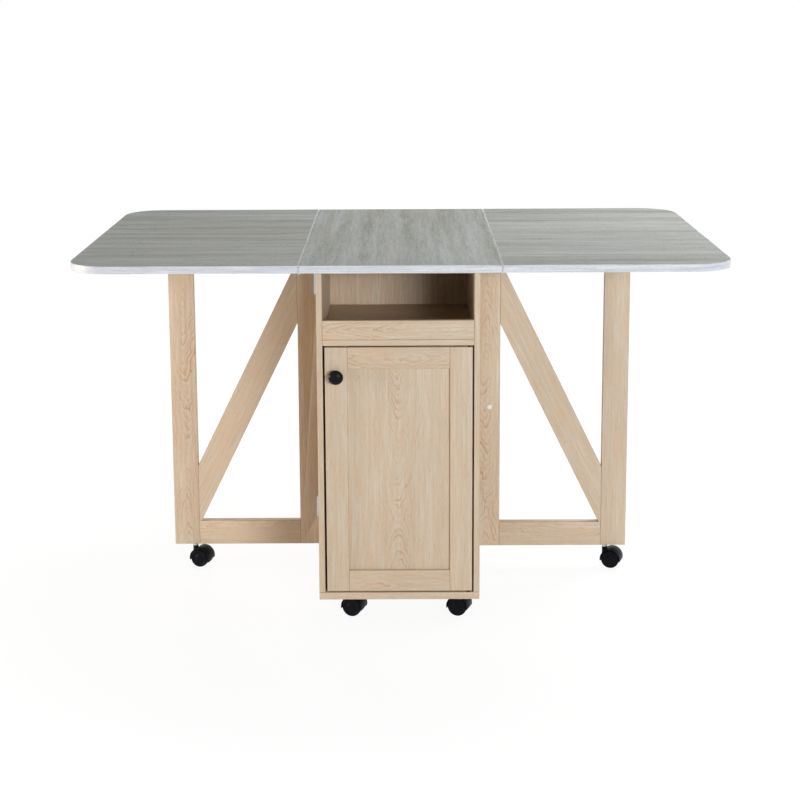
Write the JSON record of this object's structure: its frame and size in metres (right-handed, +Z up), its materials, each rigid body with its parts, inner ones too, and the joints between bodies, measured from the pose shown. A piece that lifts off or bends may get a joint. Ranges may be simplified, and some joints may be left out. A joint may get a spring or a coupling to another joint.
{
  "type": "drop-leaf kitchen table with storage cabinet",
  "caption": "Drop-leaf kitchen table: fixed centre and hinged leaves on a narrow wheeled cabinet with niche, door and rear shelves; swing-out gates hold the leaves.",
  "frame": {"origin": "on the floor under the middle of the open table top", "axes": "+X along the open top's length, towards the right leaf; +Y from the door side to the back; +Z up"},
  "size_m": [1.3, 0.8, 0.75],
  "materials": {
    "oak_laminate": "pale oak laminate on board, satin",
    "stone_laminate": "grey travertine laminate on board, satin",
    "edge_band": "pale thermoplastic edging, satin",
    "zinc_plated_steel": "bright zinc plate",
    "black_plated_steel": "black oxide, semi-gloss",
    "knob_black": "black, glossy",
    "caster_black": "moulded black nylon, satin",
    "catch_plastic": "moulded white plastic",
    "bumper_rubber": "pale translucent rubber, matt"
  },
  "bodies": {
    "cabinet": {"side_panel_left": "oak_laminate", "side_panel_right": "oak_laminate", "bottom_board": "oak_laminate", "carcass_top": "oak_laminate", "niche_floor": "oak_laminate", "niche_lip": "oak_laminate", "centre_partition": "oak_laminate", "cupboard_shelf": "oak_laminate", "rear_shelf_lower": "oak_laminate", "rear_shelf_upper": "oak_laminate", "shelf_pins": "zinc_plated_steel", "carcass_fasteners": "zinc_plated_steel", "magnetic_catch": "catch_plastic", "gate_hinge_fixed_leaves": "zinc_plated_steel", "caster_plates": "black_plated_steel", "top_centre_panel": "stone_laminate", "top_centre_edge_band": "edge_band", "leaf_hinge_fixed_leaves": "zinc_plated_steel"},
    "leaf_left": {"leaf_panel_left": "stone_laminate", "leaf_edge_band_left": "edge_band", "leaf_hinge_leaves_left": "zinc_plated_steel"},
    "leaf_right": {"leaf_panel_right": "stone_laminate", "leaf_edge_band_right": "edge_band", "leaf_hinge_leaves_right": "zinc_plated_steel"},
    "gate_left": {"gate_outer_stile_left": "oak_laminate", "gate_inner_stile_left": "oak_laminate", "gate_rail_lower_left": "oak_laminate", "gate_rail_upper_left": "oak_laminate", "gate_brace_left": "oak_laminate", "gate_hinge_leaves_left": "zinc_plated_steel", "gate_bumper_left": "bumper_rubber", "gate_caster_stem_left": "zinc_plated_steel"},
    "gate_right": {"gate_outer_stile_right": "oak_laminate", "gate_inner_stile_right": "oak_laminate", "gate_rail_lower_right": "oak_laminate", "gate_rail_upper_right": "oak_laminate", "gate_brace_right": "oak_laminate", "gate_hinge_leaves_right": "zinc_plated_steel", "gate_bumper_right": "bumper_rubber", "gate_caster_stem_right": "zinc_plated_steel"},
    "door": {"door_stile_latch": "oak_laminate", "door_stile_pivot": "oak_laminate", "door_rail_lower": "oak_laminate", "door_rail_upper": "oak_laminate", "door_panel": "oak_laminate", "door_knob": "knob_black", "door_fittings": "black_plated_steel"},
    "hood_gate_left": {"caster_hood_gate_left": "caster_black"},
    "wheels_gate_left": {"caster_wheels_gate_left": "caster_black"},
    "hood_gate_right": {"caster_hood_gate_right": "caster_black"},
    "wheels_gate_right": {"caster_wheels_gate_right": "caster_black"},
    "hood_front_left": {"caster_hood_front_left": "caster_black"},
    "wheels_front_left": {"caster_wheels_front_left": "caster_black"},
    "hood_front_right": {"caster_hood_front_right": "caster_black"},
    "wheels_front_right": {"caster_wheels_front_right": "caster_black"},
    "hood_rear_left": {"caster_hood_rear_left": "caster_black"},
    "wheels_rear_left": {"caster_wheels_rear_left": "caster_black"},
    "hood_rear_right": {"caster_hood_rear_right": "caster_black"},
    "wheels_rear_right": {"caster_wheels_rear_right": "caster_black"}
  },
  "joints": [
    {"name": "gate_left_fold", "type": "hinge", "parent": "cabinet", "child": "gate_left", "pos_m": [-0.1705, -0.003, 0.392], "axis": [0, 0, 1], "range_deg": [0, 90]},
    {"name": "gate_right_fold", "type": "hinge", "parent": "cabinet", "child": "gate_right", "pos_m": [0.1605, 0.003, 0.392], "axis": [0, 0, 1], "range_deg": [0, 90]},
    {"name": "door_swing", "type": "hinge", "parent": "cabinet", "child": "door", "pos_m": [0.1355, -0.333, 0.3215], "axis": [0, 0, 1], "range_deg": [0, 105]},
    {"name": "leaf_left_lift", "type": "hinge", "parent": "cabinet", "child": "leaf_left", "pos_m": [-0.197, 0, 0.7325], "axis": [0, 1, 0], "range_deg": [0, 2]},
    {"name": "leaf_right_lift", "type": "hinge", "parent": "cabinet", "child": "leaf_right", "pos_m": [0.197, 0, 0.7325], "axis": [0, -1, 0], "range_deg": [0, 2]},
    {"name": "swivel_gate_left", "type": "hinge", "parent": "gate_left", "child": "hood_gate_left", "pos_m": [-0.463, 0.009, 0.036], "axis": [0, 0, 1], "continuous": true},
    {"name": "spin_gate_left", "type": "hinge", "parent": "hood_gate_left", "child": "wheels_gate_left", "pos_m": [-0.44843, 0.0037, 0.02], "axis": [0.342, 0.9397, 0], "continuous": true},
    {"name": "swivel_gate_right", "type": "hinge", "parent": "gate_right", "child": "hood_gate_right", "pos_m": [0.453, -0.009, 0.036], "axis": [0, 0, 1], "continuous": true},
    {"name": "spin_gate_right", "type": "hinge", "parent": "hood_gate_right", "child": "wheels_gate_right", "pos_m": [0.46757, -0.0143, 0.02], "axis": [0.342, 0.9397, 0], "continuous": true},
    {"name": "swivel_front_left", "type": "hinge", "parent": "cabinet", "child": "hood_front_left", "pos_m": [-0.1135, -0.2825, 0.036], "axis": [0, 0, 1], "continuous": true},
    {"name": "spin_front_left", "type": "hinge", "parent": "hood_front_left", "child": "wheels_front_left", "pos_m": [-0.09893, -0.2878, 0.02], "axis": [0.342, 0.9397, 0], "continuous": true},
    {"name": "swivel_front_right", "type": "hinge", "parent": "cabinet", "child": "hood_front_right", "pos_m": [0.1035, -0.2825, 0.036], "axis": [0, 0, 1], "continuous": true},
    {"name": "spin_front_right", "type": "hinge", "parent": "hood_front_right", "child": "wheels_front_right", "pos_m": [0.11807, -0.2878, 0.02], "axis": [0.342, 0.9397, 0], "continuous": true},
    {"name": "swivel_rear_left", "type": "hinge", "parent": "cabinet", "child": "hood_rear_left", "pos_m": [-0.1135, 0.2825, 0.036], "axis": [0, 0, 1], "continuous": true},
    {"name": "spin_rear_left", "type": "hinge", "parent": "hood_rear_left", "child": "wheels_rear_left", "pos_m": [-0.09893, 0.2772, 0.02], "axis": [0.342, 0.9397, 0], "continuous": true},
    {"name": "swivel_rear_right", "type": "hinge", "parent": "cabinet", "child": "hood_rear_right", "pos_m": [0.1035, 0.2825, 0.036], "axis": [0, 0, 1], "continuous": true},
    {"name": "spin_rear_right", "type": "hinge", "parent": "hood_rear_right", "child": "wheels_rear_right", "pos_m": [0.11807, 0.2772, 0.02], "axis": [0.342, 0.9397, 0], "continuous": true}
  ]
}
